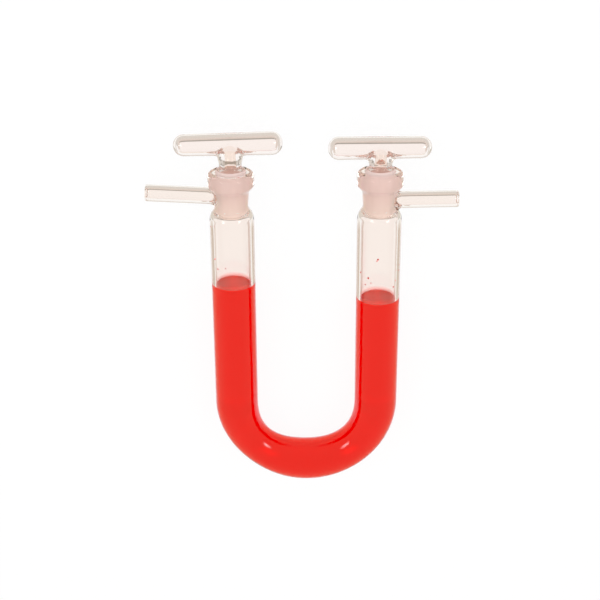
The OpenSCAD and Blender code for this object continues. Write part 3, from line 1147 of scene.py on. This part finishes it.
def worked_glass(glass):
    """The hollow of a stem: warmer where the glass was worked, and drawn into streaks along it."""
    return smooth_glass("worked_glass", glass.glass_ior, glass.worked_colour, (0.93, 0.90, 0.88),
                        (900, 0.35, 0.0005, 1.0, (1, 0.25, 1)))


def wetted_glass(glass, liquid):
    """The bore below the liquid's level, where the glass only bends light as far as its index
    differs from the liquid's."""
    return smooth_glass("wetted_glass", glass.glass_ior / liquid.liquid_ior, (1, 1, 1), (1, 1, 1))


def ground_glass(glass, tube):
    """Ground glass: dull, with the fine pits that the grinding leaves. Its tint is painted shade:
    it grows darker from the foot of the ground bore up to a little below the mouth."""
    darkest_drop = 0.004
    material, tree, output = new_material("ground_glass")
    shader = set_inputs(tree.nodes.new("ShaderNodeBsdfPrincipled"),
                        Roughness=glass.ground_roughness, IOR=glass.glass_ior,
                        Specular_IOR_Level=0.0)
    place = tree.nodes.new("ShaderNodeTexCoord")
    axes = tree.nodes.new("ShaderNodeSeparateXYZ")
    tree.links.new(place.outputs["Object"], axes.inputs["Vector"])
    mouth_y = to_row_height(tube) + mouth_height(tube)
    # Painted shade: the tint darkens from the foot of the ground bore up to a little below the
    # mouth.
    share = soft_step(tree, axes.outputs["Y"], mouth_y - tube.joint_len, mouth_y - darkest_drop)
    tint = blend_colours(tree, share, tuple(glass.ground_colour), tuple(glass.mouth_shade_colour))
    tree.links.new(tint, shader.inputs["Base Color"])
    pits = bump_from_noise(tree, 2600, 0.25, 0.0001, 4.0)
    tree.links.new(pits.outputs["Normal"], shader.inputs["Normal"])
    through = tree.nodes.new("ShaderNodeBsdfTranslucent")
    tree.links.new(tint, through.inputs["Color"])
    mix = set_inputs(tree.nodes.new("ShaderNodeMixShader"), Fac=glass.ground_clearness)
    tree.links.new(shader.outputs["BSDF"], mix.inputs[1])
    tree.links.new(through.outputs["BSDF"], mix.inputs[2])
    let_light_through(tree, output, mix, (0.85, 0.82, 0.80))
    return material


def red_liquid(liquid):
    """A clear dye: it takes green and blue out of what passes through it. Where attribute wetted
    is 1 its face lies on the glass, which bends the light for both."""
    material, tree, output = new_material("red_liquid")
    shader = set_inputs(tree.nodes.new("ShaderNodeBsdfPrincipled"), Roughness=0.0)
    wetted = tree.nodes.new("ShaderNodeAttribute")
    wetted.attribute_name = "wetted"
    free = maths(tree, "SUBTRACT", 1.0, wetted.outputs["Fac"])
    colour = blend_colours(tree, free, tuple(liquid.body_colour), tuple(liquid.surface_colour))
    tree.links.new(colour, shader.inputs["Base Color"])
    through = maths(tree, "SUBTRACT", 1.0, maths(tree, "MULTIPLY", free, liquid.surface_body))
    tree.links.new(through, shader.inputs["Transmission Weight"])
    index = maths(tree, "SUBTRACT", liquid.liquid_ior,
                  maths(tree, "MULTIPLY", wetted.outputs["Fac"], liquid.liquid_ior - 1))
    tree.links.new(index, shader.inputs["IOR"])
    dye = set_inputs(tree.nodes.new("ShaderNodeVolumeAbsorption"), Color=(*liquid.dye, 1),
                     Density=liquid.dye_density)
    tree.links.new(dye.outputs["Volume"], output.inputs["Volume"])
    let_light_through(tree, output, shader, (0.9, 0.35, 0.3))
    return material


def liquid_film(liquid):
    """A film of the liquid's colour that thins out as attribute film falls."""
    material, tree, output = new_material("liquid_film")
    shader = set_inputs(tree.nodes.new("ShaderNodeBsdfPrincipled"), Roughness=0.3,
                        Specular_IOR_Level=0.0, Base_Color=(*liquid.film_colour, 1))
    film = tree.nodes.new("ShaderNodeAttribute")
    film.attribute_name = "film"
    body = maths(tree, "MULTIPLY", film.outputs["Fac"], liquid.film_body)
    tree.links.new(body, shader.inputs["Alpha"])
    tree.links.new(shader.outputs["BSDF"], output.inputs["Surface"])
    return material


# Pieces

def put_in_scene(name, skin, materials, body, slot, *nodes):
    """Makes a piece from its skin, gives it its finishes and hangs it on its body."""
    piece = bpy.data.objects.new(name, skin.mesh(name))
    for material in materials:
        piece.data.materials.append(material)
    bpy.context.scene.collection.objects.link(piece)
    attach(piece, body)
    if nodes:
        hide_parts(*nodes)
    return piece


class DRYINGTUBE_OT_tube(Operator):
    """Blow the U-tube with its sockets and side arms"""
    bl_idname = "drying_tube.tube"
    bl_label = "U-tube"

    def execute(self, context):
        parts = context.scene.drying_tube
        put_in_scene("glass_u_tube", u_tube_skin(parts.tube, parts.liquid, parts.columns),
                     [clear_glass("clear_glass", parts.glass, parts.glass.glass_colour),
                      ground_glass(parts.glass, parts.tube),
                      wetted_glass(parts.glass, parts.liquid)],
                     "tube", "clear_glass", "u_tube")
        return {"FINISHED"}


class DRYINGTUBE_OT_plugs(Operator):
    """Make the two ground plugs with their T-bars"""
    bl_idname = "drying_tube.plugs"
    bl_label = "Ground plugs"

    def execute(self, context):
        parts = context.scene.drying_tube
        finishes = [clear_glass("plug_glass", parts.glass, parts.glass.plug_colour),
                    ground_glass(parts.glass, parts.tube), worked_glass(parts.glass)]
        for side in SIDES:
            name = f"{SIDE_NAMES[side]}_plug"
            put_in_scene(f"glass_{name}", plug_skin(side, parts.tube, parts.plug, parts.columns),
                         finishes, name, "plug_glass", name)
        return {"FINISHED"}


class DRYINGTUBE_OT_liquid(Operator):
    """Fill the bend with the red liquid and leave drops of it on the glass"""
    bl_idname = "drying_tube.liquid"
    bl_label = "Red liquid"

    def execute(self, context):
        parts = context.scene.drying_tube
        finish = red_liquid(parts.liquid)
        piece = put_in_scene("red_solution", liquid_skin(parts.tube, parts.liquid, parts.columns),
                             [finish], "tube", "red_liquid", "red_liquid")
        mark_wetted(piece.data, parts.tube, parts.liquid)
        put_in_scene("red_drops", droplet_skin(parts.tube), [finish], "tube", "red_liquid")
        film = put_in_scene("red_film", film_skin(parts.tube, parts.liquid, parts.columns),
                            [liquid_film(parts.liquid)], "tube", "red_liquid")
        mark_film(film.data, parts.tube, parts.liquid)
        return {"FINISHED"}


# Stage

def add_camera(stage):
    """The camera looks at the middle of the tube from in front of it and a little above it as it
    stands upright, so it has the mouths at the top of its view."""
    camera = bpy.data.objects.new("camera", bpy.data.cameras.new("camera"))
    bpy.context.scene.collection.objects.link(camera)
    camera.data.lens = stage.camera_lens
    camera.data.clip_start = 0.01
    aim = Vector((MID_X + stage.aim_x, to_row_height(settings().tube) + stage.aim_height,
                  AXIS_HEIGHT))
    back = Vector((0, math.sin(stage.camera_tilt), math.cos(stage.camera_tilt)))
    up = Vector((0, math.cos(stage.camera_tilt), -math.sin(stage.camera_tilt)))
    camera.matrix_world = (Matrix.Translation(aim + back * stage.camera_distance)
                           @ Matrix((Vector((1, 0, 0)), up, back)).transposed().to_4x4()
                           @ Matrix.Rotation(stage.camera_roll, 4, "Z"))
    bpy.context.scene.camera = camera


def add_softboxes(stage):
    """A square softbox on each side, above the tube, which faces a spot between the T-bars."""
    above_mouths = 0.03
    aim = Vector((MID_X, TUBE_HIGH.y + above_mouths, AXIS_HEIGHT))
    for side in SIDES:
        name = f"{SIDE_NAMES[side]}_softbox"
        lamp = bpy.data.lights.new(name, "AREA")
        lamp.shape = "SQUARE"
        lamp.size = stage.lamp_size
        lamp.energy = stage.lamp_power
        lamp.spread = stage.lamp_spread
        softbox = bpy.data.objects.new(name, lamp)
        bpy.context.scene.collection.objects.link(softbox)
        softbox.location = stage.lamp_place
        softbox.location.x *= side
        way = aim - softbox.location
        softbox.rotation_euler = way.to_track_quat("-Z", "Y").to_euler()


def add_world(stage):
    """The room as the glass shows it: white below its skyline, a dark line along that, beige above
    it, and dim on the camera's side. The camera sees only white."""
    world = bpy.data.worlds.new("studio")
    bpy.context.scene.world = world
    world.use_nodes = True
    tree = world.node_tree
    tree.nodes.clear()
    place = tree.nodes.new("ShaderNodeTexCoord")
    axes = tree.nodes.new("ShaderNodeSeparateXYZ")
    tree.links.new(place.outputs["Generated"], axes.inputs["Vector"])
    up, forward = axes.outputs["Y"], axes.outputs["Z"]
    white, room = (1.0, 1.0, 1.0), tuple(stage.room_colour)
    line = tuple(0.5 * part for part in room)
    edge = stage.skyline
    above_line = soft_step(tree, up, edge - 0.01, edge + 0.01)
    in_room = soft_step(tree, up, edge + 0.06, edge + 0.10)
    behind_camera = soft_step(tree, forward, -0.05, 0.15)
    colour = blend_colours(tree, above_line, white, line)
    colour = blend_colours(tree, in_room, colour, room)
    colour = blend_colours(tree, behind_camera, colour, tuple(stage.front_colour))
    ahead = maths(tree, "ADD", maths(tree, "MULTIPLY", up, -math.sin(stage.camera_tilt)),
                  maths(tree, "MULTIPLY", forward, -math.cos(stage.camera_tilt)))
    in_backdrop = soft_step(tree, ahead, 0.74, 0.86)
    sheen = blend_colours(tree, in_backdrop, tuple(stage.sheen_colour), white)
    path = tree.nodes.new("ShaderNodeLightPath")
    mirrored = maths(tree, "MULTIPLY", path.outputs["Is Reflection Ray"],
                     path.outputs["Is Glossy Ray"])
    colour = blend_colours(tree, mirrored, colour, sheen)
    matt = maths(tree, "MINIMUM", path.outputs["Diffuse Depth"], 1.0)
    colour = blend_colours(tree, matt, colour, tuple(stage.fill_colour))
    colour = blend_colours(tree, path.outputs["Is Camera Ray"], colour, white)
    background = tree.nodes.new("ShaderNodeBackground")
    output = tree.nodes.new("ShaderNodeOutputWorld")
    tree.links.new(colour, background.inputs["Color"])
    tree.links.new(background.outputs["Background"], output.inputs["Surface"])


def soft_glow(name, colour):
    """A glowing finish that is clear where attribute fade is 0."""
    material, tree, output = new_material(name)
    glow = set_inputs(tree.nodes.new("ShaderNodeEmission"), Color=(*colour, 1), Strength=1.0)
    clear = tree.nodes.new("ShaderNodeBsdfTransparent")
    fade = tree.nodes.new("ShaderNodeAttribute")
    fade.attribute_name = "fade"
    mix = tree.nodes.new("ShaderNodeMixShader")
    tree.links.new(fade.outputs["Fac"], mix.inputs["Fac"])
    tree.links.new(clear.outputs["BSDF"], mix.inputs[1])
    tree.links.new(glow.outputs["Emission"], mix.inputs[2])
    tree.links.new(mix.outputs["Shader"], output.inputs["Surface"])
    return material


def add_sheet(name, points, material, soft_rows, soft_columns):
    """A sheet of the stage, from a grid of points, that only the glass sees. Attribute fade grows
    evenly from 0 at its edges to 1 over the given shares of its rows and its columns."""
    rows, columns = points.shape[:2]
    shares = [np.minimum(np.minimum(t, 1 - t) / soft, 1) for t, soft in
              ((np.linspace(0, 1, rows), soft_rows), (np.linspace(0, 1, columns), soft_columns))]
    numbers = np.arange(rows * columns).reshape(rows, columns)
    quads = np.stack([numbers[:-1, :-1], numbers[:-1, 1:], numbers[1:, 1:], numbers[1:, :-1]], -1)
    mesh = bpy.data.meshes.new(name)
    mesh.from_pydata(points.reshape(-1, 3), [], quads.reshape(-1, 4).tolist())
    mark(mesh, "fade", "POINT", np.outer(*shares))
    mesh.materials.append(material)
    sheet = bpy.data.objects.new(name, mesh)
    bpy.context.scene.collection.objects.link(sheet)
    sheet.visible_camera = False
    sheet.visible_diffuse = False
    sheet.visible_shadow = False


def add_flag(name, stage, material, beside, x, heights, depths, soft_rows):
    """A small upright flag that follows the camera's way of looking: the further it lies behind
    the limbs' axes, the further out and down it goes, as the view does. beside is its distance
    from what it darkens, x its place across and heights those of its rows."""
    spread = 1 + depths / (stage.camera_distance * math.cos(stage.camera_tilt))
    middle = MID_X + stage.aim_x
    drops = math.tan(stage.camera_tilt) * np.hypot(depths, beside)
    points = np.stack(np.broadcast_arrays(middle + (x - middle) * spread,
                                          heights[:, None] - drops, AXIS_HEIGHT - depths), axis=-1)
    add_sheet(name, points, material, soft_rows, 0.06)


def add_limb_flags(stage):
    """Two flags beside each limb, which darken its sides above the liquid."""
    material = soft_glow("flag", stage.flag_colour)
    parts = settings()
    depths = np.linspace(stage.flag_near, stage.flag_far, 13)
    top = mouth_height(parts.tube) - parts.tube.neck_h - stage.flag_drop
    for side, level in liquid_levels(parts.liquid).items():
        heights = to_row_height(parts.tube) + np.linspace(level, top, 17)
        for place, gap in (("outer", stage.flag_gap), ("inner", stage.inner_flag_gap)):
            add_flag(f"{SIDE_NAMES[side]}_{place}_flag", stage, material, gap - BEND_R,
                     MID_X + side * gap, heights, depths, 0.1)


def add_bar_flags(stage):
    """Two flags behind each T-bar, a little beyond its ends, which darken its thick ends."""
    material = soft_glow("bar_flag", stage.room_colour)
    bar_d, gap = settings().plug.bar_d, stage.bar_flag_gap
    under, over = 0.001, 0.004
    depths = np.linspace(stage.bar_flag_near, stage.bar_flag_far, 13)
    for side in SIDES:
        low, high = PLUG_BOX[side]
        heights = np.linspace(high.y - bar_d - under, high.y + over, 9)
        for place, x in (("left", low.x - gap), ("right", high.x + gap)):
            add_flag(f"{SIDE_NAMES[side]}_bar_{place}_flag", stage, material, gap, x, heights,
                     depths, 0.15)


def add_card(stage):
    """A white card close behind the bend, which shows in the liquid where it bends the view up."""
    half_width, low, high, depth = 0.09, -0.07, -0.015, 0.03
    x, y = np.meshgrid(np.linspace(-half_width, half_width, 25), np.linspace(low, high, 13))
    points = np.stack([MID_X + x, to_row_height(settings().tube) + y,
                       np.full_like(x, AXIS_HEIGHT - depth)], axis=-1)
    add_sheet("bend_card", points, soft_glow("white_card", (1.0, 1.0, 1.0)), 0.2, 0.1)


def add_floor(stage):
    """A round white floor on the bench's surface. It shows mostly its own white, and a little of
    the light that falls on it, so that the tube's shadow stays."""
    bpy.ops.mesh.primitive_circle_add(vertices=64, radius=4, fill_type="NGON")
    floor = bpy.context.object
    floor.name = "floor"
    material, tree, output = new_material("white_floor")
    matt = set_inputs(tree.nodes.new("ShaderNodeBsdfDiffuse"), Color=(*stage.floor_colour, 1))
    glow = set_inputs(tree.nodes.new("ShaderNodeEmission"), Color=(1, 1, 1, 1), Strength=1.0)
    mix = tree.nodes.new("ShaderNodeMixShader")
    path = tree.nodes.new("ShaderNodeLightPath")
    share = maths(tree, "MULTIPLY", path.outputs["Is Camera Ray"], 0.93)
    tree.links.new(share, mix.inputs["Fac"])
    tree.links.new(matt.outputs["BSDF"], mix.inputs[1])
    tree.links.new(glow.outputs["Emission"], mix.inputs[2])
    tree.links.new(mix.outputs["Shader"], output.inputs["Surface"])
    floor.data.materials.append(material)
    floor.visible_transmission = False
    floor.visible_glossy = False


class DRYINGTUBE_OT_stage(Operator):
    """Set up the camera, the lamps, the room and the floor"""
    bl_idname = "drying_tube.stage"
    bl_label = "Stage"

    def execute(self, context):
        stage = context.scene.drying_tube.stage
        add_camera(stage)
        add_world(stage)
        add_limb_flags(stage)
        add_bar_flags(stage)
        add_card(stage)
        add_floor(stage)
        add_softboxes(stage)
        scene = context.scene
        scene.view_settings.view_transform = "Standard"
        scene.cycles.max_bounces = 64
        scene.cycles.transmission_bounces = 48
        scene.cycles.glossy_bounces = 48
        scene.cycles.transparent_max_bounces = 24
        return {"FINISHED"}


class DRYINGTUBE_PT_panel(Panel):
    """Lists the sizes and the steps of the drying tube"""
    bl_label = "Drying tube"
    bl_idname = "DRYINGTUBE_PT_panel"
    bl_space_type = "VIEW_3D"
    bl_region_type = "UI"
    bl_category = "Drying tube"

    def draw(self, context):
        parts = context.scene.drying_tube
        for group in (parts.tube, parts.plug, parts.liquid, parts.glass, parts.stage):
            box = self.layout.box()
            for name in group.bl_rna.properties.keys():
                if name not in ("rna_type", "name"):
                    box.prop(group, name)
        for operator in OPERATORS:
            self.layout.operator(operator.bl_idname)


OPERATORS = (DRYINGTUBE_OT_stage, DRYINGTUBE_OT_tube, DRYINGTUBE_OT_plugs, DRYINGTUBE_OT_liquid)
CLASSES = (TubeSettings, PlugSettings, LiquidSettings, GlassSettings, StageSettings,
           DryingTubeSettings, *OPERATORS, DRYINGTUBE_PT_panel)


def register():
    for item in CLASSES:
        bpy.utils.register_class(item)
    bpy.types.Scene.drying_tube = PointerProperty(type=DryingTubeSettings)


def unregister():
    del bpy.types.Scene.drying_tube
    for item in reversed(CLASSES):
        bpy.utils.unregister_class(item)


def main():
    register()
    bpy.ops.drying_tube.stage()
    bpy.ops.drying_tube.tube()
    bpy.ops.drying_tube.plugs()
    bpy.ops.drying_tube.liquid()


if __name__ == "__main__":
    main()
